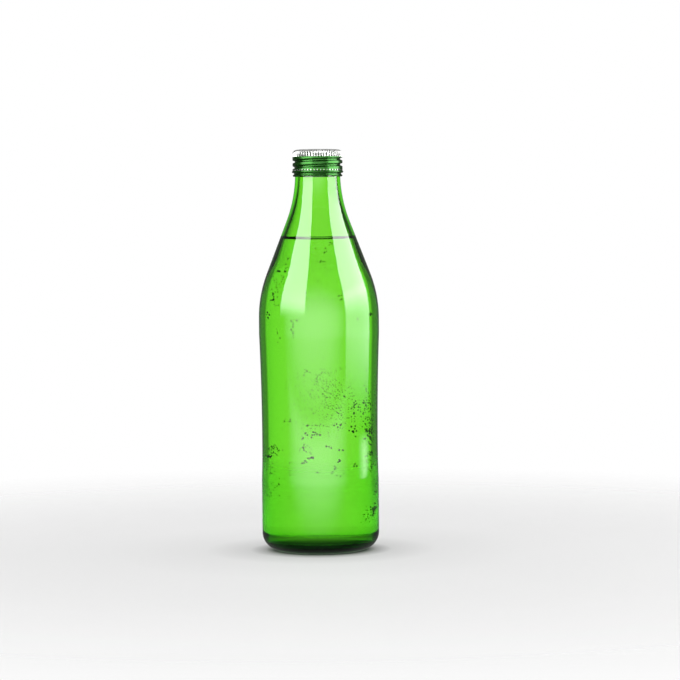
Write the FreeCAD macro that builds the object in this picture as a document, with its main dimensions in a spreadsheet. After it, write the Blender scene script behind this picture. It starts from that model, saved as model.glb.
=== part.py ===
import FreeCAD, Part
import os
import Sketcher
from FreeCAD import Placement, Rotation, Vector

# A soda water bottle: green glass, filled and closed by a rolled-on aluminium screw cap.
# It stands on z = 0 with its axis on Z. Lengths are in millimetres and angles in degrees.

SIZES = [
    # glass body
    ("glass_height", 225.0, "foot to lip"),
    ("body_radius", 33.8, "outside of the body where it is widest, under the shoulder"),
    ("wall", 2.6, "glass wall, measured square to the axis or along the arc radii"),
    ("base_step", 0.85, "how far the bottom band stands inside the widest radius"),
    ("heel_radius", 10.15, "round between body and foot"),
    ("foot_width", 1.5, "flat ring that the bottle rests on"),
    ("push_up", 2.5, "rise of the hollow under the foot"),
    ("floor_height", 6.0, "inside floor above the table"),
    ("floor_corner", 5.0, "inside round between floor and wall"),
    ("shoulder_radius", 68.5, "arc from the body into the shoulder cone"),
    ("cone_angle", 21.1, "shoulder cone against the axis"),
    ("neck_bend", 74.0, "arc from the shoulder cone into the neck"),
    # label panel, a shallow waist with a crease at its upper and at its lower edge
    ("waist_step", 1.2, "how far the panel's waist stands inside the widest radius"),
    ("waist_height", 62.0, "top of the straight waist above the table"),
    ("panel_foot", 40.0, "lower edge of the panel above the table"),
    ("panel_bend", 500.0, "flat arc from the lower edge into the waist"),
    ("panel_gap", 9.0, "crease at the panel's upper edge, below the shoulder"),
    # screw finish
    ("finish_height", 12.75, "lip down to the foot of the locking ring"),
    ("root_radius", 12.3, "thread root"),
    ("finish_wall", 3.3, "glass between the mouth and the thread root"),
    ("bore_taper", 2.5, "height over which the neck narrows to the mouth"),
    ("lip_inside", 0.8, "round between mouth and lip"),
    ("lip_outside", 1.2, "round between lip and thread root"),
    ("neck_step", 0.4, "neck under the locking ring, beyond the thread root"),
    ("ring_reach", 1.4, "locking ring beyond the thread root"),
    ("ring_flank", 0.7, "height of the locking ring's lower flank"),
    ("ring_land", 0.8, "height of the locking ring's straight land"),
    ("ring_slope", 0.6, "height of the slope from the ring up to the root"),
    ("thread_pitch", 3.2, "rise in one turn"),
    ("ridge_height", 1.05, "glass thread above its root"),
    ("ridge_crest", 0.5, "width of the glass thread at its crest"),
    ("ridge_base", 1.9, "width of the glass thread at its root"),
    ("ridge_turns", 1.4, "length of the glass thread"),
    ("ridge_angle", -225.0, "where the glass thread starts, from +X"),
    ("ridge_rise", 4.25, "start of the glass thread above the foot of the locking ring"),
    # soda water
    ("fill_drop", 49.5, "water line below the lip"),
    ("fill_gap", 0.2, "clearance between water and glass"),
    # screw cap
    ("shell", 0.3, "aluminium sheet"),
    ("cap_corner", 2.5, "round at the top edge"),
    ("knurl_height", 4.0, "top of the cap to the lower end of the knurling"),
    ("knurl_depth", 0.35, "depth of a flute"),
    ("knurl_nose", 0.6, "radius of a flute"),
    ("knurl_count", 56, "flutes round the cap"),
    ("knurl_clearance", 0.15, "between the knurled band and the crest of the glass thread"),
    ("skirt_step", 0.25, "height of the step from knurling to skirt"),
    ("skirt_clearance", 0.05, "between the skirt and the locking ring"),
    ("groove_clearance", 0.2, "between the rolled thread groove and the thread root"),
    ("groove_floor", 0.5, "width of the groove at its bottom"),
    ("groove_mouth", 1.9, "width of the groove at the skirt"),
    ("groove_turns", 1.5, "full-depth length of the groove"),
    ("groove_angle", -175.0, "where the groove reaches full depth, from +X"),
    ("groove_fade", 0.12, "turns over which the groove fades out at each end"),
    ("slit_rise", 1.6, "row of slits above the foot of the locking ring"),
    ("slit_height", 0.4, "width of the cut"),
    ("bridge_count", 48, "bridges left between the slits"),
    ("bridge_width", 0.5, "length of a bridge"),
    ("bead_rise", 0.65, "bead above the foot of the locking ring"),
    ("bead_reach", 0.4, "bead beyond the skirt"),
    ("bead_bend", 0.6, "section radius of the bead"),
    ("roll_clearance", 0.25, "between the neck and the band where it is rolled in"),
    ("roll_bend", 0.5, "section radius of the roll"),
    ("hem_step", 0.1, "widest part of the lower edge inside the skirt's face"),
    ("hem_bend", 0.55, "section radius of the turned-in lower edge"),
    # cutting
    ("overshoot", 1.0, "how far a cut reaches past the surface that it opens"),
]

doc = FreeCAD.newDocument("soda_bottle")
sheet = doc.addObject("Spreadsheet::Sheet", "Sizes")
for row, (alias, size, meaning) in enumerate(SIZES, start=1):
    sheet.set(f"A{row}", meaning)
    sheet.set(f"B{row}", str(size))
    sheet.setAlias(f"B{row}", alias)
doc.recompute()


def sized(text):
    """Turn $name into the sheet's cell of that name, so that the text can bind other objects to it."""
    return text.replace("$", "Sizes.")


def sketch_on(body, name, role="XZ_Plane"):
    """A sketch on one of the body's own origin planes. On XZ its x is the radius and its y the height."""
    sketch = body.newObject("Sketcher::SketchObject", name)
    plane = next(p for p in body.Origin.OriginFeatures if p.Role == role)
    sketch.AttachmentSupport = [(plane, "")]
    sketch.MapMode = "FlatFace"
    return sketch


def bound(sketch, kind, *where, to):
    """Add a dimension to the sketch and bind it to the sheet."""
    size = sketch.evalExpression(to)
    index = sketch.addConstraint(Sketcher.Constraint(kind, *where, size))
    sketch.setExpression(f"Constraints[{index}]", to)


def pin_down(sketch, geometry, end, x, y):
    """Fix one point of the sketch at expressions measured from its origin."""
    for kind, axis, to in (("DistanceX", -2, x), ("DistanceY", -1, y)):
        if to == "0":
            sketch.addConstraint(Sketcher.Constraint("PointOnObject", geometry, end, axis))
        else:
            bound(sketch, kind, -1, 1, geometry, end, to=to)


def arc_between(start, end, radius, turn):
    """The short arc from start to end that turns left or right. Its curve always runs anticlockwise."""
    half = (end - start) * 0.5
    outwards = Vector(half.y, -half.x, 0).normalize() * (1 if turn == "left" else -1)
    middle = start + half + outwards * (radius - max(radius**2 - half.Length**2, 0) ** 0.5)
    first, last = (start, end) if turn == "left" else (end, start)
    return Part.Arc(first, middle, last)


def outline(sketch, *steps):
    """Draw a closed outline. A step is the next corner (x, y), or (x, y, radius, turn) for an arc to it."""
    steps = [tuple(sized(part) for part in step) for step in steps]
    corners = [Vector(sketch.evalExpression(s[0]), sketch.evalExpression(s[1]), 0) for s in steps]
    pieces = []
    for number, step in enumerate(steps):
        start, end = corners[number - 1], corners[number]
        if len(step) == 2:
            index = sketch.addGeometry(Part.LineSegment(start, end))
            pieces.append((index, 1, 2))
        else:
            radius, turn = step[2:]
            index = sketch.addGeometry(arc_between(start, end, sketch.evalExpression(radius), turn))
            pieces.append((index, 1, 2) if turn == "left" else (index, 2, 1))
    for number, (index, first, last) in enumerate(pieces):
        before, _, before_last = pieces[number - 1]
        sketch.addConstraint(Sketcher.Constraint("Coincident", before, before_last, index, first))
        pin_down(sketch, index, last, *steps[number][:2])
        if len(steps[number]) == 4:
            bound(sketch, "Radius", index, to=steps[number][2])


def feature(body, kind, name, sketch, **bindings):
    """A PartDesign feature made from a sketch, with its own properties bound to the sheet."""
    made = body.newObject(f"PartDesign::{kind}", name)
    made.Profile = sketch
    for prop, text in bindings.items():
        made.setExpression(prop, sized(text))
    return made


def turned(body, kind, name, sketch):
    """A full turn of the sketch about the bottle's axis: a Revolution adds, a Groove cuts."""
    made = feature(body, kind, name, sketch)
    made.ReferenceAxis = (sketch, ["V_Axis"])
    made.Angle = 360
    return made


def repeated(body, name, original, sketch, count):
    """The feature repeated evenly round the bottle's axis."""
    pattern = body.newObject("PartDesign::PolarPattern", name)
    pattern.Originals = [original]
    pattern.Axis = next((p, [""]) for p in body.Origin.OriginFeatures if p.Role == "Z_Axis")
    pattern.Angle = 360
    pattern.setExpression("Occurrences", sized(count))
    body.Tip = pattern
    return pattern


def turned_plane(sketch, angle):
    """Swing a sketch on the XZ plane about the bottle's axis, which is the sketch's own Y axis."""
    sketch.AttachmentOffset = Placement(Vector(), Rotation(Vector(0, 1, 0), 1))
    sketch.setExpression("AttachmentOffset.Rotation.Angle", sized(angle))


def helix(body, kind, name, sketch, turns, rise, growth="0", downwards=False):
    """The sketch swept along a right-hand helix, winding outwards by growth in each turn."""
    made = feature(body, kind, name, sketch)
    made.ReferenceAxis = (sketch, ["V_Axis"])
    made.Mode = "height-turns-growth"
    made.Reversed = downwards
    made.setExpression("Turns", sized(turns))
    made.setExpression("Height", sized(rise))
    made.setExpression("Growth", sized(growth))
    return made


# Places that follow from the sheet. The shoulder is set out from the finish downwards, as in a mould set
# in which the bottle's height is changed by its straight body alone.
NECK_RADIUS = "($root_radius + $neck_step)"
RING_RADIUS = "($root_radius + $ring_reach)"
BORE_RADIUS = "($root_radius - $finish_wall)"
NECK_Z = "($glass_height - $finish_height)"
THREAD_Z = f"({NECK_Z} + $ridge_rise)"
SHOULDER_Z = (
    f"({NECK_Z} - ($body_radius - {NECK_RADIUS}) / tan($cone_angle)"
    " - ($shoulder_radius + $neck_bend) * tan($cone_angle / 2))"
)
BASE_RADIUS = "($body_radius - $base_step)"
WAIST_RADIUS = "($body_radius - $waist_step)"
PANEL_TOP = f"({SHOULDER_Z} - $panel_gap)"
PANEL_LENGTH = f"({PANEL_TOP} - $waist_height)"
PANEL_CURVE = f"(({PANEL_LENGTH}^2 + $waist_step^2) / (2 * $waist_step))"

# The cap is rolled on to the finish, so each of its outer radii is the glass under it, a clearance
# and the sheet. Its groove lies half a pitch under the glass thread.
KNURL_INSIDE = "($root_radius + $ridge_height + $knurl_clearance)"
CAP_RADIUS = f"({KNURL_INSIDE} + $shell + $knurl_depth)"
SKIRT_RADIUS = f"({RING_RADIUS} + $skirt_clearance + $shell)"
GROOVE_ROOT = "($root_radius + $groove_clearance + $shell)"
BEAD_RADIUS = f"({SKIRT_RADIUS} + $bead_reach)"
ROLL_RADIUS = f"({NECK_RADIUS} + $roll_clearance + $shell)"
HEM_RADIUS = f"({SKIRT_RADIUS} - $hem_step)"
CAP_TOP = "($glass_height + $shell)"
KNURL_END = f"({CAP_TOP} - $knurl_height)"
GROOVE_Z = f"({THREAD_Z} + (($groove_angle - $ridge_angle) / 360 - 1 / 2) * $thread_pitch)"
SLIT_Z = f"({NECK_Z} + $slit_rise)"
BEAD_Z = f"({NECK_Z} + $bead_rise)"


def flank(inset):
    """Corners from the waist to the neck, at a depth under the outer surface."""
    shoulder = f"($shoulder_radius - {inset})"
    bend = f"($neck_bend + {inset})"
    return [
        (f"{WAIST_RADIUS} - {inset}", "$waist_height"),
        (f"$body_radius - {inset}", PANEL_TOP, f"({PANEL_CURVE} + {inset})", "right"),
        (f"$body_radius - {inset}", SHOULDER_Z),
        (
            f"$body_radius - $shoulder_radius + {shoulder} * cos($cone_angle)",
            f"{SHOULDER_Z} + {shoulder} * sin($cone_angle)",
            shoulder,
            "left",
        ),
        (
            f"{NECK_RADIUS} + $neck_bend - {bend} * cos($cone_angle)",
            f"{NECK_Z} - {bend} * sin($cone_angle)",
        ),
        (f"{NECK_RADIUS} - {inset}", NECK_Z, bend, "right"),
    ]


def inside(gap):
    """Corners of the inside of the glass from the floor's centre to the neck, shrunk by a gap."""
    inset = f"($wall + {gap})"
    return [
        ("0", f"$floor_height + {gap}"),
        (f"{WAIST_RADIUS} - $wall - $floor_corner", f"$floor_height + {gap}"),
        (f"{WAIST_RADIUS} - {inset}", "$floor_height + $floor_corner", f"$floor_corner - {gap}", "left"),
        *flank(inset),
    ]


def glass_bottle():
    """Blown glass bottle with a thick base and a screw finish."""
    body = doc.addObject("PartDesign::Body", "glass_bottle")
    rest = f"({BASE_RADIUS} - $heel_radius)"
    panel_depth = "($waist_step - $base_step)"
    panel_rise = f"sqrt(2 * $panel_bend * {panel_depth} - {panel_depth}^2)"

    blank = sketch_on(body, "blank_outline")
    outline(
        blank,
        ("0", "$push_up"),
        (
            f"{rest} - $foot_width",
            "0",
            f"(({rest} - $foot_width)^2 + $push_up^2) / (2 * $push_up)",
            "right",
        ),
        (rest, "0"),
        (BASE_RADIUS, "$heel_radius", "$heel_radius", "left"),
        (BASE_RADIUS, "$panel_foot"),
        (WAIST_RADIUS, f"$panel_foot + {panel_rise}", "$panel_bend", "right"),
        *flank("0"),
        (RING_RADIUS, f"{NECK_Z} + $ring_flank"),
        (RING_RADIUS, f"{NECK_Z} + $ring_flank + $ring_land"),
        ("$root_radius", f"{NECK_Z} + $ring_flank + $ring_land + $ring_slope"),
        ("$root_radius", "$glass_height - $lip_outside"),
        ("$root_radius - $lip_outside", "$glass_height", "$lip_outside", "left"),
        ("0", "$glass_height"),
    )
    turned(body, "Revolution", "blank", blank)

    thread = sketch_on(body, "thread_section")
    turned_plane(thread, "$ridge_angle")
    buried = "($root_radius - $ridge_height / 2)"
    crest = "($root_radius + $ridge_height)"
    outline(
        thread,
        (buried, f"{THREAD_Z} - $ridge_base / 2"),
        ("$root_radius", f"{THREAD_Z} - $ridge_base / 2"),
        (crest, f"{THREAD_Z} - $ridge_crest / 2"),
        (crest, f"{THREAD_Z} + $ridge_crest / 2"),
        ("$root_radius", f"{THREAD_Z} + $ridge_base / 2"),
        (buried, f"{THREAD_Z} + $ridge_base / 2"),
    )
    helix(body, "AdditiveHelix", "thread", thread, "$ridge_turns", "$ridge_turns * $thread_pitch")

    cavity = sketch_on(body, "cavity_outline")
    outline(
        cavity,
        *inside("0"),
        (BORE_RADIUS, f"{NECK_Z} + $bore_taper"),
        (BORE_RADIUS, "$glass_height - $lip_inside"),
        (f"{BORE_RADIUS} + $lip_inside", "$glass_height", "$lip_inside", "right"),
        (f"{BORE_RADIUS} + $lip_inside", "$glass_height + $overshoot"),
        ("0", "$glass_height + $overshoot"),
    )
    turned(body, "Groove", "cavity", cavity)
    return body


def soda_water():
    """Water that fills the bottle up to its line."""
    body = doc.addObject("PartDesign::Body", "full_bottle")
    filling = sketch_on(body, "filling_outline")
    outline(filling, *inside("$fill_gap"), ("0", NECK_Z))
    turned(body, "Revolution", "filling", filling)

    below_line = doc.addObject("Part::Cylinder", "below_line")
    below_line.setExpression("Radius", sized("$body_radius"))
    below_line.setExpression("Height", sized("$glass_height - $fill_drop"))

    water = doc.addObject("Part::Common", "soda_water")
    water.Base = body
    water.Tool = below_line
    return water


def cap_section(inset, crown, knurling, overshoot):
    """Corners of the cap from its crown to its hem, at a depth under the sheet's outer face."""
    skirt = f"({SKIRT_RADIUS} - {inset})"
    bead = f"($bead_bend - {inset})"
    roll = f"($roll_bend + {inset})"
    hem = f"($hem_bend - {inset})"
    # the bead, the roll and the hem are three arcs that touch, so their centres lie their radii apart
    bead_x = f"({BEAD_RADIUS} - $bead_bend)"
    roll_x = f"({ROLL_RADIUS} + $roll_bend)"
    hem_x = f"({HEM_RADIUS} - $hem_bend)"
    roll_z = f"({BEAD_Z} - sqrt(($bead_bend + $roll_bend)^2 - ({roll_x} - {bead_x})^2))"
    hem_z = f"({roll_z} - sqrt(($roll_bend + $hem_bend)^2 - ({roll_x} - {hem_x})^2))"
    past_bead = f"{bead} / ($bead_bend + $roll_bend)"
    past_roll = f"{roll} / ($roll_bend + $hem_bend)"
    return [
        *crown,
        (knurling, KNURL_END),
        (skirt, f"{KNURL_END} - $skirt_step"),
        (skirt, f"{BEAD_Z} + sqrt({bead}^2 - ({skirt} - {bead_x})^2)"),
        (f"{BEAD_RADIUS} - {inset}", BEAD_Z, bead, "right"),
        (
            f"{bead_x} + ({roll_x} - {bead_x}) * {past_bead}",
            f"{BEAD_Z} + ({roll_z} - {BEAD_Z}) * {past_bead}",
            bead,
            "right",
        ),
        (
            f"{roll_x} + ({hem_x} - {roll_x}) * {past_roll}",
            f"{roll_z} + ({hem_z} - {roll_z}) * {past_roll}",
            roll,
            "left",
        ),
        (hem_x, f"{hem_z} - {hem}", hem, "right"),
        (f"{hem_x} - $shell", f"{hem_z} - $hem_bend - {overshoot}"),
        ("0", f"{hem_z} - $hem_bend - {overshoot}"),
    ]


def rolled_groove(body, inset):
    """The thread groove that is rolled into the skirt. It fades out of the sheet at both ends."""
    depth = f"({SKIRT_RADIUS} - {GROOVE_ROOT})"
    run_out = f"({depth} / $groove_fade)"
    high_angle = "$groove_angle + 360 * $groove_turns"
    high = f"({GROOVE_Z} + $groove_turns * $thread_pitch)"
    runs = (
        ("thread", "$groove_angle", GROOVE_Z, "$groove_turns", "0", False),
        ("low_fade", "$groove_angle", GROOVE_Z, "$groove_fade", run_out, True),
        ("high_fade", high_angle, high, "$groove_fade", run_out, False),
    )
    # the flanks stand back from the outer ones by the inset, measured square to them
    spread = f"(($groove_mouth - $groove_floor) / 2 / {depth})"
    floor = f"($groove_floor / 2 + {inset} * (sqrt(1 + {spread}^2) - {spread}))"
    wide = f"({floor} + {spread} * ({depth} + $shell + {inset}))"
    for name, angle, height, turns, growth, downwards in runs:
        section = sketch_on(body, f"{body.Name}_{name}_section")
        turned_plane(section, angle)
        outline(
            section,
            (f"{GROOVE_ROOT} - {inset}", f"{height} + {floor}"),
            (f"{GROOVE_ROOT} - {inset}", f"{height} - {floor}"),
            (f"{SKIRT_RADIUS} + $shell", f"{height} - {wide}"),
            (f"{SKIRT_RADIUS} + $shell", f"{height} + {wide}"),
        )
        rise = f"{turns} * $thread_pitch"
        helix(body, "SubtractiveHelix", f"{body.Name}_{name}", section, turns, rise, growth, downwards)


def screw_cap():
    """Rolled-on cap: one drawn aluminium sheet whose tamper band still hangs on its bridges."""
    outside = doc.addObject("PartDesign::Body", "cap_outside")
    skin = sketch_on(outside, "skin_outline")
    crown = [
        ("0", CAP_TOP),
        (f"{CAP_RADIUS} - $cap_corner", CAP_TOP),
        (CAP_RADIUS, f"{CAP_TOP} - $cap_corner", "$cap_corner", "right"),
    ]
    outline(skin, *cap_section("0", crown, CAP_RADIUS, "0"))
    turned(outside, "Revolution", "skin", skin)

    flute = sketch_on(outside, "flute_section", "XY_Plane")
    flute.setExpression("AttachmentOffset.Base.z", sized(KNURL_END))
    flute_x = sized(f"{CAP_RADIUS} - $knurl_depth + $knurl_nose")
    nose = sized("$knurl_nose")
    centre = Vector(flute.evalExpression(flute_x), 0, 0)
    index = flute.addGeometry(Part.Circle(centre, Vector(0, 0, 1), flute.evalExpression(nose)))
    pin_down(flute, index, 3, flute_x, "0")
    bound(flute, "Radius", index, to=nose)
    doc.recompute()
    cut = feature(outside, "Pocket", "flute", flute, Length="$knurl_height + $overshoot")
    cut.Reversed = True
    repeated(outside, "knurling", cut, flute, "$knurl_count")
    rolled_groove(outside, "0")

    hollow = doc.addObject("PartDesign::Body", "cap_inside")
    inside_corner = "($cap_corner - $knurl_depth - $shell)"
    lining = sketch_on(hollow, "hollow_outline")
    crown = [
        ("0", "$glass_height"),
        (f"{KNURL_INSIDE} - {inside_corner}", "$glass_height"),
        (KNURL_INSIDE, f"$glass_height - {inside_corner}", inside_corner, "right"),
    ]
    outline(lining, *cap_section("$shell", crown, KNURL_INSIDE, "$overshoot"))
    turned(hollow, "Revolution", "hollow", lining)
    rolled_groove(hollow, "$shell")

    # each slit is a fin on the hollow that reaches out through the sheet
    slit = sketch_on(hollow, "slit_section", "YZ_Plane")
    slit.setExpression("AttachmentOffset.Base.z", sized(f"{SKIRT_RADIUS} - $shell - $overshoot"))
    half = f"(pi * {SKIRT_RADIUS} / $bridge_count - $bridge_width / 2)"
    low = f"{SLIT_Z} - $slit_height / 2"
    high = f"{SLIT_Z} + $slit_height / 2"
    outline(slit, (f"-{half}", low), (half, low), (half, high), (f"-{half}", high))
    doc.recompute()
    fin = feature(hollow, "Pad", "slit", slit, Length="$shell + 2 * $overshoot")
    repeated(hollow, "slits", fin, slit, "$bridge_count")

    cap = doc.addObject("Part::Cut", "screw_cap")
    cap.Base = outside
    cap.Tool = hollow
    return cap


nodes = [glass_bottle(), soda_water(), screw_cap()]
doc.recompute()
for made in doc.Objects:
    if {"Invalid", "Error"} & set(made.State):
        raise RuntimeError(f"{made.Label} failed: {made.State}")
for node in nodes:
    if node.Shape.isNull() or not node.Shape.isValid():
        raise RuntimeError(f"{node.Label} has no valid shape")
    if len(node.Shape.Solids) != 1:
        raise RuntimeError(f"{node.Label} has {len(node.Shape.Solids)} solids")

os.makedirs("parts", exist_ok=True)
for node in nodes:
    node.Shape.exportStep(f"parts/{node.Label}.step")
    print(node.Label, round(node.Shape.Volume / 1000, 2), "cm3")
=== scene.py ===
import math
import random

import bmesh
import bpy
from mathutils import Matrix, Quaternion, Vector
from mathutils.bvhtree import BVHTree


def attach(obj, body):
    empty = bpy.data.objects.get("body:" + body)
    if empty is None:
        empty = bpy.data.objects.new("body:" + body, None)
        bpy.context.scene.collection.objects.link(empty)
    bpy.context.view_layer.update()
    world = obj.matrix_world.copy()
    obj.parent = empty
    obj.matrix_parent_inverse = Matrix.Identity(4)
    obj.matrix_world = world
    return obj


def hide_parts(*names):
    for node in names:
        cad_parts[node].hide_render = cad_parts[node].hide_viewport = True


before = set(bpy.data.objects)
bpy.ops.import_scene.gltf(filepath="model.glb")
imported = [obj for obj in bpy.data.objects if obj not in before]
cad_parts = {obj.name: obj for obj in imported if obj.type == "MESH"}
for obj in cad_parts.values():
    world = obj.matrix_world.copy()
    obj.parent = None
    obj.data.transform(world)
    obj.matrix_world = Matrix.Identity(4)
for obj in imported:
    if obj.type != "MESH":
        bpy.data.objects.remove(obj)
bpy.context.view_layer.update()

# Glass bottle. It is blown from green soda-lime glass, with a thick floor, a shallow label panel and
# a screw finish moulded at its mouth. It is drawn as half of its section and turned about its axis.

MM = 0.001
GLASS_HEIGHT = 225.0
BODY_RADIUS = 33.8
WALL = 2.6
BASE_RADIUS = 32.95
HEEL_RADIUS = 10.15
FOOT_WIDTH = 1.5
PUSH_UP = 2.5
FLOOR_HEIGHT = 6.0
FLOOR_CORNER = 5.0
SHOULDER_BEND = 68.5
CONE_ANGLE = math.radians(21.1)
NECK_BEND = 74.0
NECK_RADIUS = 12.7
FINISH_HEIGHT = 12.75
NECK_Z = GLASS_HEIGHT - FINISH_HEIGHT
ROOT_RADIUS = 12.3
LIP_ROUND = 1.2
RING_RADIUS = 13.7
RING_FOOT, RING_TOP, RING_END = 0.7, 1.5, 2.1
BORE_RADIUS = 9.0
BORE_FOOT = 2.5
BORE_ROUND = 0.8
SHOULDER_Z = (
    NECK_Z
    - (BODY_RADIUS - NECK_RADIUS) / math.tan(CONE_ANGLE)
    - (SHOULDER_BEND + NECK_BEND) * math.tan(CONE_ANGLE / 2)
)
WAIST_RADIUS = 32.6
WAIST_Z = 62.0
PANEL_FOOT = 40.0
PANEL_BEND = 500.0
PANEL_GAP = 9.0
PANEL_TOP = SHOULDER_Z - PANEL_GAP
waist_step = BODY_RADIUS - WAIST_RADIUS
PANEL_CURVE = ((PANEL_TOP - WAIST_Z) ** 2 + waist_step**2) / (2 * waist_step)
LONGEST_EDGE = 2.5
LEFT, RIGHT = 1, -1


def draw_outline(steps, facet=4):
    """Wire of a half section in millimetres. A step is (x, z), or (x, z, radius, turn) for an arc to it.
    A long straight run gets a row near each end, which keeps its middle flat under smooth shading."""
    section = bmesh.new()
    pen = section.verts.new(Vector((steps[0][0], 0, steps[0][1])) * MM)
    for x, z, *arc in steps[1:]:
        goal = Vector((x, 0, z)) * MM
        if arc:
            radius, turn = arc[0] * MM, arc[1]
            half = (goal - pen.co) / 2
            inwards = Vector((-half.z, 0, half.x)).normalized() * turn
            centre = pen.co + half + inwards * math.sqrt(max(radius**2 - half.length_squared, 0))
            angle = 2 * math.asin(min(half.length / radius, 1))
            by_angle, by_length = math.degrees(angle) / facet, angle * radius / (LONGEST_EDGE * MM)
            facets = max(2, math.ceil(by_angle), math.ceil(by_length))
            about = {"cent": centre, "axis": (0, -turn, 0), "angle": angle, "steps": facets}
            swung = bmesh.ops.spin(section, geom=[pen], **about)
            pen = next(item for item in swung["geom_last"] if isinstance(item, bmesh.types.BMVert))
            pen.co = goal
        else:
            start, run = pen.co.copy(), goal - pen.co
            edge = LONGEST_EDGE * MM / run.length
            for share in (edge, 1 - edge, 1) if edge < 0.3 else (1,):
                pen = bmesh.ops.extrude_vert_indiv(section, verts=[pen])["verts"][0]
                pen.co = start + run * share
    return section


def turn_outline(section, columns):
    """Spin the wire into one of eight sectors, set the eight round the axis, and weld seams and poles."""
    sectors = 8
    axis = {"cent": (0, 0, 0), "axis": (0, 0, 1)}
    wire = section.verts[:] + section.edges[:]
    bmesh.ops.spin(section, geom=wire, angle=2 * math.pi / sectors, steps=columns // sectors, **axis)
    sector = section.verts[:] + section.edges[:] + section.faces[:]
    bmesh.ops.spin(section, geom=sector, angle=2 * math.pi, steps=sectors, use_duplicate=True, **axis)
    bmesh.ops.remove_doubles(section, verts=section.verts, dist=0.0005 * MM)
    bmesh.ops.recalc_face_normals(section, faces=section.faces)
    return section


def finish_piece(shape, name, material, corner=35):
    """Make the named object from a bmesh, smooth but for corners sharper than the angle."""
    mesh = bpy.data.meshes.new(name)
    shape.to_mesh(mesh)
    mesh.shade_smooth()
    mesh.set_sharp_from_angle(angle=math.radians(corner))
    mesh.materials.append(material)
    piece = bpy.data.objects.new(name, mesh)
    bpy.context.scene.collection.objects.link(piece)
    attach(piece, "root")
    return piece


def flank(inset):
    """Waist, shoulder and neck from the waist up, at a depth under the outer surface."""
    shoulder, bend = SHOULDER_BEND - inset, NECK_BEND + inset
    return [
        (WAIST_RADIUS - inset, WAIST_Z),
        (BODY_RADIUS - inset, PANEL_TOP, PANEL_CURVE + inset, RIGHT),
        (BODY_RADIUS - inset, SHOULDER_Z),
        (
            BODY_RADIUS - SHOULDER_BEND + shoulder * math.cos(CONE_ANGLE),
            SHOULDER_Z + shoulder * math.sin(CONE_ANGLE),
            shoulder,
            LEFT,
        ),
        (NECK_RADIUS + NECK_BEND - bend * math.cos(CONE_ANGLE), NECK_Z - bend * math.sin(CONE_ANGLE)),
        (NECK_RADIUS - inset, NECK_Z, bend, RIGHT),
    ]


def inside(gap):
    """Inside of the glass from the floor's centre to the neck, a gap inwards of the wall."""
    inset = WALL + gap
    return [
        (0, FLOOR_HEIGHT + gap),
        (WAIST_RADIUS - WALL - FLOOR_CORNER, FLOOR_HEIGHT + gap),
        (WAIST_RADIUS - inset, FLOOR_HEIGHT + FLOOR_CORNER, FLOOR_CORNER - gap, LEFT),
        *flank(inset),
    ]


panel_depth = BASE_RADIUS - WAIST_RADIUS
panel_rise = math.sqrt(2 * PANEL_BEND * panel_depth - panel_depth**2)
rest_radius = BASE_RADIUS - HEEL_RADIUS
hollow_radius = rest_radius - FOOT_WIDTH
outer_steps = [
    (0, PUSH_UP),
    (hollow_radius, 0, (hollow_radius**2 + PUSH_UP**2) / (2 * PUSH_UP), RIGHT),
    (rest_radius, 0),
    (BASE_RADIUS, HEEL_RADIUS, HEEL_RADIUS, LEFT),
    (BASE_RADIUS, PANEL_FOOT),
    (WAIST_RADIUS, PANEL_FOOT + panel_rise, PANEL_BEND, RIGHT),
    *flank(0),
    (RING_RADIUS, NECK_Z + RING_FOOT),
    (RING_RADIUS, NECK_Z + RING_TOP),
    (ROOT_RADIUS, NECK_Z + RING_END),
    (ROOT_RADIUS, GLASS_HEIGHT - LIP_ROUND),
    (ROOT_RADIUS - LIP_ROUND, GLASS_HEIGHT, LIP_ROUND, LEFT),
]
inner_steps = [
    *inside(0),
    (BORE_RADIUS, NECK_Z + BORE_FOOT),
    (BORE_RADIUS, GLASS_HEIGHT - BORE_ROUND),
    (BORE_RADIUS + BORE_ROUND, GLASS_HEIGHT, BORE_ROUND, RIGHT),
]
outer_wall = draw_outline(outer_steps)
inner_wall = draw_outline(inner_steps)
glass_shape = bmesh.new()
for wall in (outer_wall, inner_wall):
    part = bpy.data.meshes.new("wall")
    wall.to_mesh(part)
    glass_shape.from_mesh(part)
    bpy.data.meshes.remove(part)
lip = [v for v in glass_shape.verts if len(v.link_edges) == 1 and v.co.z > NECK_Z * MM]
glass_shape.edges.new(lip)
COLUMNS = 192
turn_outline(glass_shape, COLUMNS)

green_glass = bpy.data.materials.new("green_glass")
green_glass.use_nodes = True
glass_nodes = green_glass.node_tree.nodes
glass_links = green_glass.node_tree.links
glass_shader = glass_nodes["Principled BSDF"]
glass_shader.inputs["Base Color"].default_value = (1, 1, 1, 1)
glass_shader.inputs["Roughness"].default_value = 0.0
glass_shader.inputs["IOR"].default_value = 1.52
glass_shader.inputs["Transmission Weight"].default_value = 1.0
glass_colour = glass_nodes.new("ShaderNodeVolumeAbsorption")
glass_colour.inputs["Color"].default_value = (0.524, 0.94, 0.016, 1)
glass_colour.inputs["Density"].default_value = 620
glass_output = glass_nodes["Material Output"]
glass_links.new(glass_colour.outputs["Volume"], glass_output.inputs["Volume"])
shadow_ray = glass_nodes.new("ShaderNodeLightPath")
clear = glass_nodes.new("ShaderNodeBsdfTransparent")
clear.inputs["Color"].default_value = (0.85, 0.5, 0.9, 1)
glass_mix = glass_nodes.new("ShaderNodeMixShader")
glass_links.new(shadow_ray.outputs["Is Shadow Ray"], glass_mix.inputs["Fac"])
glass_links.new(glass_shader.outputs["BSDF"], glass_mix.inputs[1])
glass_links.new(clear.outputs["BSDF"], glass_mix.inputs[2])
glass_links.new(glass_mix.outputs["Shader"], glass_output.inputs["Surface"])

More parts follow.
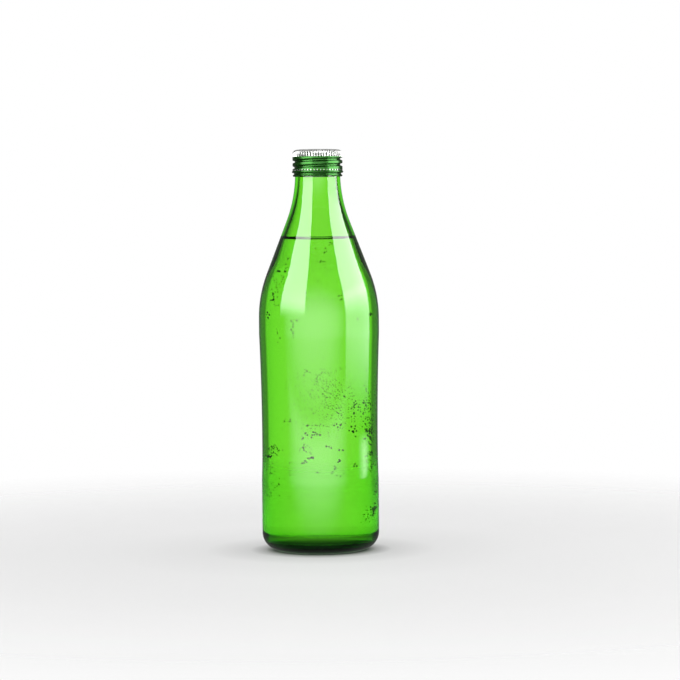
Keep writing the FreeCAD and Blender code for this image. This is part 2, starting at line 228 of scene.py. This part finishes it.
glass_wall = BVHTree.FromBMesh(glass_shape)
glass = finish_piece(glass_shape, "bottle_glass", green_glass)
glass.visible_diffuse = False
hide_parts("glass_bottle")

# Soda water. It fills the bottle up to the shoulder and climbs a little up the glass all round.
# It reaches just into the wall, so that the glass and the water meet with no air between them.

WATER_Z = 174.4
MENISCUS = 1.9
MENISCUS_CURVE = 2.0
MENISCUS_EDGE = 0.05
REACH = 0.2


def wall_radius(z, gap):
    """Inner radius of the cone, a gap inwards of the glass."""
    low, high = flank(WALL + gap)[3][:2], flank(WALL + gap)[4][:2]
    return low[0] + (high[0] - low[0]) * (z - low[1]) / (high[1] - low[1])


edge_z = WATER_Z + MENISCUS
water_steps = [
    *inside(-REACH)[:7],
    (wall_radius(edge_z, -REACH), edge_z),
    (wall_radius(edge_z, MENISCUS_EDGE), edge_z),
    (wall_radius(WATER_Z, 0) - MENISCUS, WATER_Z, MENISCUS_CURVE, RIGHT),
    (0, WATER_Z),
]
water_shape = turn_outline(draw_outline(water_steps), COLUMNS)

clear_water = bpy.data.materials.new("clear_water")
clear_water.use_nodes = True
water_nodes = clear_water.node_tree.nodes
water_links = clear_water.node_tree.links
water_shader = water_nodes["Principled BSDF"]
water_shader.inputs["Base Color"].default_value = (1, 1, 1, 1)
water_shader.inputs["Roughness"].default_value = 0.0
water_shader.inputs["IOR"].default_value = 1.333
water_shader.inputs["Transmission Weight"].default_value = 1.0
shadow_ray = water_nodes.new("ShaderNodeLightPath")
clear = water_nodes.new("ShaderNodeBsdfTransparent")
water_mix = water_nodes.new("ShaderNodeMixShader")
water_links.new(shadow_ray.outputs["Is Shadow Ray"], water_mix.inputs["Fac"])
water_links.new(water_shader.outputs["BSDF"], water_mix.inputs[1])
water_links.new(clear.outputs["BSDF"], water_mix.inputs[2])
water_links.new(water_mix.outputs["Shader"], water_nodes["Material Output"].inputs["Surface"])

water = finish_piece(water_shape, "water", clear_water)
water.visible_diffuse = False
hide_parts("soda_water")

# Screw cap. One drawn aluminium sheet, lacquered green, but bare on its crown, its knurled band and the
# thin bridges that hold its tamper band. Its thread is rolled into it on the bottle, and the tamper band
# is rolled in under the locking ring. The floors of the knurl's flutes are painted a dull dark green,
# which is painted shade.

CAP_TOP = 225.3
SHEET = 0.3
CAP_RADIUS = 14.15
CAP_CORNER = 2.5
KNURL_END = CAP_TOP - 4.0
KNURL_COUNT = 56
KNURL_DEPTH = 0.5
KNURL_WIDTH = 0.34
KNURL_RUN_IN = 12.0
KNURL_FADE = 2.0
SKIRT_RADIUS = 14.05
SKIRT_ROW = 0.16
SKIRT_ROWS = 44
THREAD_PITCH = 3.2
THREAD_ANGLE = -225.0
THREAD_RISE = 4.25
GROOVE_DEPTH = 1.25
GROOVE_TURNS = 1.5
GROOVE_ANGLE = -175.0
GROOVE_Z = NECK_Z + THREAD_RISE + ((GROOVE_ANGLE - THREAD_ANGLE) / 360 - 1 / 2) * THREAD_PITCH
GROOVE_FADE = 0.12
GROOVE_HALF_MOUTH = 0.95
GROOVE_FLANK = 0.7
SLIT_Z = NECK_Z + 1.6
SLIT_HALF_HEIGHT = 0.2
BRIDGE_COUNT = 48
BEAD_Z = NECK_Z + 0.65
BEAD_RADIUS, ROLL_RADIUS, HEM_RADIUS = 14.45, 13.25, 13.95
BEAD_BEND, ROLL_BEND, HEM_BEND = 0.6, 0.5, 0.55
bead_x = BEAD_RADIUS - BEAD_BEND
roll_x = ROLL_RADIUS + ROLL_BEND
hem_x = HEM_RADIUS - HEM_BEND
roll_z = BEAD_Z - math.sqrt((BEAD_BEND + ROLL_BEND) ** 2 - (roll_x - bead_x) ** 2)
hem_z = roll_z - math.sqrt((ROLL_BEND + HEM_BEND) ** 2 - (roll_x - hem_x) ** 2)
past_bead = BEAD_BEND / (BEAD_BEND + ROLL_BEND)
past_roll = ROLL_BEND / (ROLL_BEND + HEM_BEND)
skirt_rows = [(SKIRT_RADIUS, KNURL_END - 0.25 - SKIRT_ROW * row) for row in range(SKIRT_ROWS)]
cap_steps = [
    (0, CAP_TOP),
    (CAP_RADIUS - CAP_CORNER, CAP_TOP),
    (CAP_RADIUS, CAP_TOP - CAP_CORNER, CAP_CORNER, RIGHT),
    (CAP_RADIUS, KNURL_END),
    *skirt_rows,
    (SKIRT_RADIUS, SLIT_Z + SLIT_HALF_HEIGHT),
    (SKIRT_RADIUS, SLIT_Z - SLIT_HALF_HEIGHT),
    (SKIRT_RADIUS, BEAD_Z + math.sqrt(BEAD_BEND**2 - (SKIRT_RADIUS - bead_x) ** 2)),
    (bead_x + BEAD_BEND, BEAD_Z, BEAD_BEND, RIGHT),
    (bead_x + (roll_x - bead_x) * past_bead, BEAD_Z + (roll_z - BEAD_Z) * past_bead, BEAD_BEND, RIGHT),
    (roll_x + (hem_x - roll_x) * past_roll, roll_z + (hem_z - roll_z) * past_roll, ROLL_BEND, LEFT),
    (hem_x, hem_z - HEM_BEND, HEM_BEND, RIGHT),
]
CAP_COLUMNS = 6 * KNURL_COUNT
cap_shape = turn_outline(draw_outline(cap_steps, facet=12), CAP_COLUMNS)


def groove_share(angle, z):
    """How deep the rolled groove is at a place on the skirt, from 0 to 1."""
    deepest = 0.0
    for lap in range(-1, 3):
        turns = (angle - GROOVE_ANGLE) / 360 + lap
        off = abs(z - (GROOVE_Z + THREAD_PITCH * turns))
        past_end = max(-turns, turns - GROOVE_TURNS, 0) / GROOVE_FADE
        flank_share = min(max((GROOVE_HALF_MOUTH - off) / GROOVE_FLANK, 0), 1)
        smooth = flank_share * flank_share * (3 - 2 * flank_share)
        deepest = max(deepest, smooth * max(1 - past_end, 0))
    return deepest


for vert in cap_shape.verts:
    across = Vector((vert.co.x, vert.co.y, 0))
    z = vert.co.z / MM
    angle = math.degrees(math.atan2(vert.co.y, vert.co.x))
    sink = 0.0
    if z > KNURL_END - 0.01 and across.length > KNURL_RUN_IN * MM:
        flute = (angle / 360 * KNURL_COUNT) % 1 - 0.5
        sink = KNURL_DEPTH * max(1 - (abs(flute) / KNURL_WIDTH) ** 2, 0)
        sink *= min((across.length / MM - KNURL_RUN_IN) / KNURL_FADE, 1)
    elif SLIT_Z + 0.25 < z < KNURL_END - 0.2:
        sink = GROOVE_DEPTH * groove_share(angle, z)
    if sink:
        vert.co -= across.normalized() * sink * MM


def in_slit(turn):
    """Whether a place round the cap, in turns, lies in a slit and not on a bridge. Seven columns of faces
    lie from the middle of one bridge to that of the next, and the slit takes the middle five."""
    return 1 / 7 < (turn * BRIDGE_COUNT) % 1 - 0.001 < 6.2 / 7


slits = []
for face in cap_shape.faces:
    middle = face.calc_center_median()
    if abs(middle.z / MM - SLIT_Z) < 0.15:
        if in_slit(math.degrees(math.atan2(middle.y, middle.x)) / 360):
            slits.append(face)
bmesh.ops.delete(cap_shape, geom=slits, context="FACES")
bmesh.ops.recalc_face_normals(cap_shape, faces=cap_shape.faces)
bmesh.ops.solidify(cap_shape, geom=cap_shape.faces[:], thickness=SHEET * MM)

green_lacquer = bpy.data.materials.new("green_lacquer")
green_lacquer.use_nodes = True
lacquer_shader = green_lacquer.node_tree.nodes["Principled BSDF"]
lacquer_shader.inputs["Base Color"].default_value = (0.014, 0.13, 0.006, 1)
lacquer_shader.inputs["Metallic"].default_value = 0.7
lacquer_shader.inputs["Roughness"].default_value = 0.26
lacquer_shader.inputs["Coat Weight"].default_value = 0.2
lacquer_shader.inputs["Coat Roughness"].default_value = 0.12

bright_aluminium = bpy.data.materials.new("bright_aluminium")
bright_aluminium.use_nodes = True
aluminium_shader = bright_aluminium.node_tree.nodes["Principled BSDF"]
aluminium_shader.inputs["Base Color"].default_value = (0.6, 0.61, 0.59, 1)
aluminium_shader.inputs["Metallic"].default_value = 0.45
aluminium_shader.inputs["Roughness"].default_value = 0.2

# The flutes' floors get a dull dark green that is painted shade: it darkens them as if they lay in shadow.
FLUTE_SHADE_HALF_WIDTH = 0.2
FLUTE_SHADE_REACH = 0.8
FLUTE_SHADE_HEIGHT = 2.4
BARE_BRIDGE = 0.35
flute_painted_shade = bpy.data.materials.new("flute_painted_shade")
flute_painted_shade.use_nodes = True
flute_painted_shade_shader = flute_painted_shade.node_tree.nodes["Principled BSDF"]
flute_painted_shade_shader.inputs["Base Color"].default_value = (0.008, 0.05, 0.008, 1)
flute_painted_shade_shader.inputs["Roughness"].default_value = 0.6
flute_painted_shade_shader.inputs["Specular IOR Level"].default_value = 0.15

cap = finish_piece(cap_shape, "cap", green_lacquer, corner=50)
cap.data.materials.append(bright_aluminium)
cap.data.materials.append(flute_painted_shade)
for face in cap.data.polygons:
    across, z = math.hypot(face.center.x, face.center.y) / MM, face.center.z / MM
    turn = math.degrees(math.atan2(face.center.y, face.center.x)) / 360
    in_flute_shade = abs((turn * KNURL_COUNT) % 1 - 0.5) < FLUTE_SHADE_HALF_WIDTH and across > CAP_RADIUS - FLUTE_SHADE_REACH
    # Painted shade on the flutes' floors; the crown, the rest of the knurled band and the bridges are bare
    # aluminium.
    if in_flute_shade and KNURL_END - 0.1 < z < KNURL_END + FLUTE_SHADE_HEIGHT:
        face.material_index = 2
    elif z > KNURL_END - 0.1:
        face.material_index = 1
    elif abs(z - SLIT_Z) < BARE_BRIDGE and not in_slit(turn):
        face.material_index = 1
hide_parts("screw_cap")

# Gas bubbles. They cling to the front of the glass in chains, clusters and a cloud, and look dark against
# the light behind them. Each is a small ball that rests against the wall. The balls are a dark green
# mirror:
# the dark is painted shade that stands in for how the bubbles bend the light, and their gloss is real.

BUBBLE_GROUPS = (
    # across, height, spread across, spread up, count, smallest and largest diameter
    # chains below the shoulder on the left
    (-16.2, 163.0, 0.3, 2.0, 5, 0.5, 0.8),
    (-17.5, 158.0, 0.6, 2.0, 7, 0.5, 0.9),
    (-20.9, 157.0, 0.9, 0.2, 5, 0.8, 1.2),
    (-19.5, 152.0, 1.2, 2.5, 12, 0.4, 0.8),
    (-22.5, 149.0, 1.2, 3.0, 14, 0.4, 0.8),
    (-24.5, 144.0, 0.5, 1.0, 4, 0.9, 1.2),
    (-25.0, 141.0, 0.5, 0.4, 3, 1.0, 1.4),
    (-23.5, 139.0, 1.0, 1.5, 5, 0.4, 0.7),
    (-27.3, 133.5, 0.4, 1.5, 5, 0.8, 1.2),
    # a few under the water line and down the middle of the shoulder
    (6.5, 172.6, 0.4, 0.5, 4, 0.5, 0.8),
    (4.0, 169.0, 0.4, 1.0, 4, 0.6, 0.9),
    (-1.4, 169.8, 0.2, 0.2, 1, 0.6, 0.7),
    (0.8, 162.5, 2.0, 0.7, 9, 0.4, 0.8),
    (4.0, 159.0, 3.5, 2.0, 14, 0.3, 0.5),
    (0.0, 148.0, 7.0, 7.0, 60, 0.25, 0.4),
    (12.3, 143.6, 0.6, 1.6, 5, 0.6, 0.9),
    (-6.7, 145.5, 0.2, 0.4, 2, 0.6, 0.8),
    (21.1, 130.8, 0.1, 0.1, 1, 0.9, 1.0),
    (27.8, 133.2, 0.5, 1.0, 4, 0.9, 1.3),
    (-12.6, 130.0, 1.5, 0.8, 8, 0.4, 0.8),
    (-14.2, 124.0, 0.4, 3.0, 9, 0.5, 0.9),
    (-22.0, 122.0, 0.8, 2.0, 5, 0.5, 0.8),
    # the cloud over the waist, which is densest on the right
    (2.0, 92.0, 8.0, 7.0, 220, 0.25, 0.5),
    (10.0, 83.0, 5.0, 8.0, 110, 0.3, 0.65),
    (-5.0, 80.0, 7.0, 6.0, 70, 0.25, 0.45),
    (-7.0, 102.5, 0.7, 1.2, 6, 0.5, 0.9),
    (-1.0, 99.0, 4.0, 2.0, 16, 0.3, 0.5),
    (18.0, 79.0, 2.2, 4.0, 22, 0.5, 1.0),
    (18.5, 68.5, 1.2, 1.6, 9, 0.8, 1.2),
    (21.5, 82.0, 2.5, 2.0, 22, 0.4, 0.9),
    (26.5, 76.0, 1.6, 9.0, 90, 0.4, 0.9),
    (27.0, 66.0, 1.2, 3.0, 60, 0.5, 1.1),
    # clusters at the waist's foot
    (-16.5, 74.0, 1.5, 1.0, 4, 0.6, 0.9),
    (-5.5, 72.0, 2.5, 0.7, 16, 0.4, 0.7),
    (8.0, 72.3, 3.0, 0.8, 8, 0.6, 1.0),
    (-7.3, 67.6, 0.6, 0.4, 3, 0.8, 1.1),
    (-3.0, 67.6, 1.4, 1.2, 10, 0.5, 1.1),
    (-9.0, 65.0, 0.6, 1.5, 6, 0.4, 0.7),
    (-8.5, 59.5, 1.5, 1.8, 12, 0.5, 0.9),
    (-5.6, 58.5, 1.0, 2.0, 8, 0.4, 0.7),
    (-4.8, 54.3, 0.9, 0.3, 5, 0.9, 1.3),
    (-7.4, 52.0, 1.5, 1.8, 4, 0.8, 1.1),
    (-1.4, 46.1, 0.1, 0.1, 1, 1.0, 1.2),
    (5.0, 60.6, 2.2, 0.6, 3, 0.8, 1.2),
    (11.9, 58.3, 0.8, 0.1, 3, 0.9, 1.2),
    (10.4, 52.2, 0.5, 1.0, 5, 0.8, 1.2),
    (8.8, 46.8, 1.4, 1.7, 11, 0.5, 0.9),
    (19.0, 48.8, 0.5, 1.5, 3, 1.0, 1.3),
    # patches low on the right wall
    (27.0, 55.0, 1.0, 0.8, 14, 0.6, 1.1),
    (27.0, 47.5, 1.0, 3.0, 34, 0.4, 0.8),
    (29.0, 34.0, 0.5, 2.0, 14, 0.6, 1.0),
    (28.5, 23.6, 0.7, 1.2, 24, 0.9, 1.5),
    (26.2, 21.0, 1.6, 2.0, 26, 0.5, 0.9),
    # patches low on the left wall
    (-25.3, 58.0, 1.8, 2.0, 40, 0.4, 0.9),
    (-27.0, 53.8, 1.0, 0.3, 12, 0.9, 1.3),
    (-26.3, 46.0, 0.9, 3.0, 18, 0.4, 0.7),
    (-16.0, 46.0, 1.5, 2.5, 8, 0.4, 0.7),
    (-23.5, 37.0, 1.5, 2.5, 10, 0.5, 0.8),
    (-27.0, 33.0, 0.8, 2.0, 16, 0.4, 0.7),
)
BUBBLE_SIDE, BUBBLE_FOOT, BUBBLE_TOP = 29.5, 12, WATER_Z - 1.5
BUBBLE_STAND = 1.12
chance = random.Random(7)
bubble_shape = bmesh.new()
ball_shape = bmesh.new()
bmesh.ops.create_icosphere(ball_shape, subdivisions=2, radius=MM)
for face in ball_shape.faces:
    face.smooth = True
for across, height, spread_across, spread_up, count, smallest, largest in BUBBLE_GROUPS:
    for _ in range(count):
        x = min(max(chance.gauss(across, spread_across), -BUBBLE_SIDE), BUBBLE_SIDE)
        z = min(max(chance.gauss(height, spread_up), BUBBLE_FOOT), BUBBLE_TOP)
        radius = chance.uniform(smallest, largest) / 2
        on_wall = glass_wall.ray_cast(Vector((x, 0, z)) * MM, Vector((0, -1, 0)))[0]
        out = Vector((on_wall.x, on_wall.y, 0)).normalized()
        centre = on_wall - out * (radius * BUBBLE_STAND * MM)
        ball = bpy.data.meshes.new("ball")
        ball_shape.to_mesh(ball)
        ball.transform(Matrix.Translation(centre) @ Matrix.Scale(radius, 4))
        bubble_shape.from_mesh(ball)
        bpy.data.meshes.remove(ball)

air = bpy.data.materials.new("air_under_water")
air.use_nodes = True
air_shader = air.node_tree.nodes["Principled BSDF"]
# Painted shade: the dark green stands in for the dark look that bent light gives an air bubble.
air_shader.inputs["Base Color"].default_value = (0.05, 0.12, 0.04, 1)
air_shader.inputs["Metallic"].default_value = 1.0
air_shader.inputs["Roughness"].default_value = 0.1
bubbles = finish_piece(bubble_shape, "bubbles", air, corner=180)
bubbles.visible_diffuse = False

# Floor, light and camera. A pale floor before a plain bright background, with tall soft lamps on both
# sides, low ones near the bottle whose gloss veils its front, and one overhead. The dim sides of the
# studio give the glass its dark edges. The floor's paint holds painted shade: a dark ring round the
# bottle's foot stands in for its contact shadow, and rays through the glass see a wider dark disc.

floor_mesh = bpy.data.meshes.new("floor")
floor_shape = bmesh.new()
bmesh.ops.create_grid(floor_shape, x_segments=1, y_segments=1, size=4.0)
floor_shape.to_mesh(floor_mesh)
floor = bpy.data.objects.new("floor", floor_mesh)
bpy.context.scene.collection.objects.link(floor)
pale_paint_and_painted_shade = bpy.data.materials.new("pale_paint_and_painted_shade")
pale_paint_and_painted_shade.use_nodes = True
paint_nodes = pale_paint_and_painted_shade.node_tree.nodes
paint_links = pale_paint_and_painted_shade.node_tree.links
paint_shader = paint_nodes["Principled BSDF"]
paint_shader.inputs["Roughness"].default_value = 0.6
paint_shader.inputs["Specular IOR Level"].default_value = 0.2


PAINTED_SHADE_END = 0.12
FLOOR_END = 0.5


def painted_shade_by_distance(stops):
    """Painted shade: grey of the paint by distance from the bottle's axis, darker near the foot.
    Stops are (metres, grey).
    """
    shade = paint_nodes.new("ShaderNodeValToRGB")
    colours = shade.color_ramp.elements
    for metres, grey in stops:
        place = metres / PAINTED_SHADE_END
        stop = colours.new(place) if 0 < place < 1 else colours[0 if place == 0 else -1]
        stop.color = (grey, grey, grey, 1)
    paint_links.new(near.outputs["Result"], shade.inputs["Fac"])
    return shade.outputs["Color"]


near = paint_nodes.new("ShaderNodeMapRange")
near.inputs["From Max"].default_value = PAINTED_SHADE_END
place_on_floor = paint_nodes.new("ShaderNodeTexCoord")
from_bottle = paint_nodes.new("ShaderNodeVectorMath")
from_bottle.operation = "LENGTH"
fade = paint_nodes.new("ShaderNodeMapRange")
fade.interpolation_type = "SMOOTHSTEP"
fade.inputs["From Min"].default_value = PAINTED_SHADE_END
fade.inputs["From Max"].default_value = FLOOR_END
no_floor = paint_nodes.new("ShaderNodeBsdfTransparent")
paint_mix = paint_nodes.new("ShaderNodeMixShader")
paint_links.new(place_on_floor.outputs["Object"], from_bottle.inputs[0])
paint_links.new(from_bottle.outputs["Value"], fade.inputs["Value"])
paint_links.new(from_bottle.outputs["Value"], near.inputs["Value"])
# Painted shadow: the paint darkens to a ring round the foot in place of the bottle's contact shadow.
painted_contact_shadow = painted_shade_by_distance(
    ((0, 0.04), (0.026, 0.06), (0.031, 0.42), (0.04, 0.74), (0.065, 0.87), (0.12, 0.9))
)
# Painted shade that only rays through the glass see: a wider dark disc under the bottle, which darkens its
# base.
painted_shade_through_glass = painted_shade_by_distance(((0, 0.06), (0.046, 0.09), (0.062, 0.85), (0.12, 0.9)))
paint_path = paint_nodes.new("ShaderNodeLightPath")
painted_shade_choice = paint_nodes.new("ShaderNodeMixRGB")
paint_links.new(paint_path.outputs["Is Transmission Ray"], painted_shade_choice.inputs["Fac"])
paint_links.new(painted_contact_shadow, painted_shade_choice.inputs["Color1"])
paint_links.new(painted_shade_through_glass, painted_shade_choice.inputs["Color2"])
paint_links.new(painted_shade_choice.outputs["Color"], paint_shader.inputs["Base Color"])
paint_links.new(fade.outputs["Result"], paint_mix.inputs["Fac"])
paint_links.new(paint_shader.outputs["BSDF"], paint_mix.inputs[1])
paint_links.new(no_floor.outputs["BSDF"], paint_mix.inputs[2])
paint_links.new(paint_mix.outputs["Shader"], paint_nodes["Material Output"].inputs["Surface"])
floor_mesh.materials.append(pale_paint_and_painted_shade)
floor.visible_glossy = False

studio = bpy.data.worlds.new("studio")
studio.use_nodes = True
bpy.context.scene.world = studio
studio_nodes = studio.node_tree.nodes
studio_links = studio.node_tree.links
direction = studio_nodes.new("ShaderNodeTexCoord")
level = studio_nodes.new("ShaderNodeVectorMath")
level.operation = "MULTIPLY"
level.inputs[1].default_value = (1, 1, 0)
unit = studio_nodes.new("ShaderNodeVectorMath")
unit.operation = "NORMALIZE"
facing = studio_nodes.new("ShaderNodeVectorMath")
facing.operation = "DOT_PRODUCT"
facing.inputs[1].default_value = (0, 1, 0)
spread = studio_nodes.new("ShaderNodeMapRange")
spread.inputs["From Min"].default_value = -1
spread.inputs["From Max"].default_value = 1
studio_links.new(direction.outputs["Generated"], level.inputs[0])
studio_links.new(level.outputs[0], unit.inputs[0])
studio_links.new(unit.outputs[0], facing.inputs[0])
studio_links.new(facing.outputs["Value"], spread.inputs["Value"])


def studio_wall(levels):
    """Colour that changes round the studio. Levels are (angle from the back, brightness)."""
    wall = studio_nodes.new("ShaderNodeValToRGB")
    ramp = wall.color_ramp.elements
    for angle, strength in levels:
        place = (math.cos(math.radians(angle)) + 1) / 2
        stop = ramp.new(place) if 0 < place < 1 else ramp[0 if place == 0 else -1]
        stop.color = (strength, strength, strength, 1)
    studio_links.new(spread.outputs["Result"], wall.inputs["Fac"])
    return wall.outputs["Color"]


# Seen through the glass, the studio is dim overhead, which keeps the bottle's thick base dark.
rise = studio_nodes.new("ShaderNodeSeparateXYZ")
studio_links.new(direction.outputs["Generated"], rise.inputs[0])
above = studio_nodes.new("ShaderNodeMapRange")
above.interpolation_type = "SMOOTHSTEP"
above.inputs["From Min"].default_value = 0.04
above.inputs["From Max"].default_value = 0.2
above.inputs["To Min"].default_value = 1.0
above.inputs["To Max"].default_value = 0.08
studio_links.new(rise.outputs["Z"], above.inputs["Value"])
path = studio_nodes.new("ShaderNodeLightPath")
shade = studio_wall(((180, 0.1), (90, 0.06), (0, 0.15)))
through_glass = studio_wall(
    ((180, 0.5), (76, 0.5), (67, 0.06), (60, 0.06), (53, 0.2), (40, 0.3), (36, 1.0), (0, 1.0))
)
dimmed = studio_nodes.new("ShaderNodeVectorMath")
dimmed.operation = "SCALE"
studio_links.new(through_glass, dimmed.inputs[0])
studio_links.new(above.outputs["Result"], dimmed.inputs["Scale"])
for ray, colour in (
    ("Is Diffuse Ray", (0.45, 0.45, 0.45, 1)),
    ("Is Transmission Ray", dimmed.outputs[0]),
    ("Is Camera Ray", (1, 1, 1, 1)),
):
    choice = studio_nodes.new("ShaderNodeMixRGB")
    studio_links.new(path.outputs[ray], choice.inputs["Fac"])
    studio_links.new(shade, choice.inputs["Color1"])
    if isinstance(colour, tuple):
        choice.inputs["Color2"].default_value = colour
    else:
        studio_links.new(colour, choice.inputs["Color2"])
    shade = choice.outputs["Color"]
studio_links.new(shade, studio_nodes["Background"].inputs["Color"])


def soft_lamp(name, azimuth, distance, width, low, high, radiance, soft_sides, soft_low, soft_high):
    """An upright lamp that faces the bottle, seen only as a gloss on it. Its brightness fades at its
    sides and at its lower and upper end over the given shares of its size. Shares of 1 dim it all over."""
    around = math.radians(azimuth)
    back = Vector((math.sin(around), -math.cos(around), 0))
    lamp = bpy.data.lights.new(name, "AREA")
    lamp.shape = "RECTANGLE"
    lamp.size, lamp.size_y = width, high - low
    lamp.energy = radiance * width * (high - low) * math.pi
    lamp.use_nodes = True
    lamp_nodes = lamp.node_tree.nodes
    lamp_links = lamp.node_tree.links
    over_lamp = lamp_nodes.new("ShaderNodeNewGeometry")
    shares = lamp_nodes.new("ShaderNodeSeparateXYZ")
    lamp_links.new(over_lamp.outputs["Parametric"], shares.inputs[0])
    strength = lamp_nodes.new("ShaderNodeMath")
    strength.inputs[0].default_value = 1
    strength.inputs[1].default_value = 0
    for axis, rim, inner in (
        ("X", 0, soft_sides),
        ("X", 1, 1 - soft_sides),
        ("Y", 0, soft_low),
        ("Y", 1, 1 - soft_high),
    ):
        soft_rim = lamp_nodes.new("ShaderNodeMapRange")
        soft_rim.interpolation_type = "SMOOTHSTEP"
        soft_rim.inputs["From Min"].default_value = rim
        soft_rim.inputs["From Max"].default_value = inner
        lamp_links.new(shares.outputs[axis], soft_rim.inputs["Value"])
        product = lamp_nodes.new("ShaderNodeMath")
        product.operation = "MULTIPLY"
        lamp_links.new(strength.outputs[0], product.inputs[0])
        lamp_links.new(soft_rim.outputs["Result"], product.inputs[1])
        strength = product
    lamp_links.new(strength.outputs[0], lamp_nodes["Emission"].inputs["Strength"])
    holder = bpy.data.objects.new(name, lamp)
    holder.location = back * distance + Vector((0, 0, (low + high) / 2))
    holder.rotation_mode = "QUATERNION"
    holder.rotation_quaternion = back.to_track_quat("Z", "Y")
    holder.visible_camera = False
    holder.visible_transmission = False
    holder.visible_diffuse = False
    bpy.context.scene.collection.objects.link(holder)


# name, azimuth, distance, width, low end, high end, radiance, soft sides, soft low end, soft high end
soft_lamp("left_lamp", -52, 1.2, 1.22, 0.1, 1.5, 9.0, 0.03, 0.25, 0.05)
soft_lamp("right_lamp", 83, 1.2, 1.56, 0.1, 1.5, 9.5, 0.06, 0.43, 0.05)
soft_lamp("low_right_lamp", 80, 0.35, 0.42, 0.04, 0.3, 4.4, 0.08, 0.23, 0.23)
soft_lamp("front_lamp", -9, 0.35, 1.4, 0.02, 0.38, 14.0, 1.0, 0.24, 0.76)
soft_lamp("low_front_lamp", -4, 0.35, 1.4, -0.04, 0.05, 13.5, 1.0, 0.78, 0.22)
soft_lamp("low_side_lamp", 95, 0.35, 0.24, 0.022, 0.042, 5.2, 0.6, 0.2, 0.6)

# The overhead lamp is two in one place, because its gloss is dimmer than the light it gives.
OVERHEAD_WIDTH, OVERHEAD_DEPTH = 1.6, 1.2
for name, radiance in (("overhead_lamp", 2.2), ("overhead_gloss", 1.3)):
    overhead = bpy.data.lights.new(name, "AREA")
    overhead.shape = "RECTANGLE"
    overhead.size, overhead.size_y = OVERHEAD_WIDTH, OVERHEAD_DEPTH
    overhead.energy = radiance * OVERHEAD_WIDTH * OVERHEAD_DEPTH * math.pi
    overhead_holder = bpy.data.objects.new(name, overhead)
    overhead_holder.location = (0, 0.15, 1.4)
    overhead_holder.visible_camera = False
    overhead_holder.visible_transmission = False
    overhead_holder.visible_glossy = name == "overhead_gloss"
    overhead_holder.visible_diffuse = name == "overhead_lamp"
    bpy.context.scene.collection.objects.link(overhead_holder)

lens = bpy.data.cameras.new("camera")
camera = bpy.data.objects.new("camera", lens)
bpy.context.scene.collection.objects.link(camera)
EYE = Vector((0.01178, -1.38, 0.175))
AIM = Vector((0.01178, 0, 0.1182))
FRAME = 0.3833
ROLL = math.radians(-0.5)
SENSOR = 36
lens.sensor_width = SENSOR
lens.lens = SENSOR * (AIM - EYE).length / FRAME
camera.location = EYE
camera.rotation_mode = "QUATERNION"
camera.rotation_quaternion = (AIM - EYE).to_track_quat("-Z", "Y") @ Quaternion((0, 0, 1), ROLL)
bpy.context.scene.camera = camera

bpy.context.scene.view_settings.view_transform = "Standard"
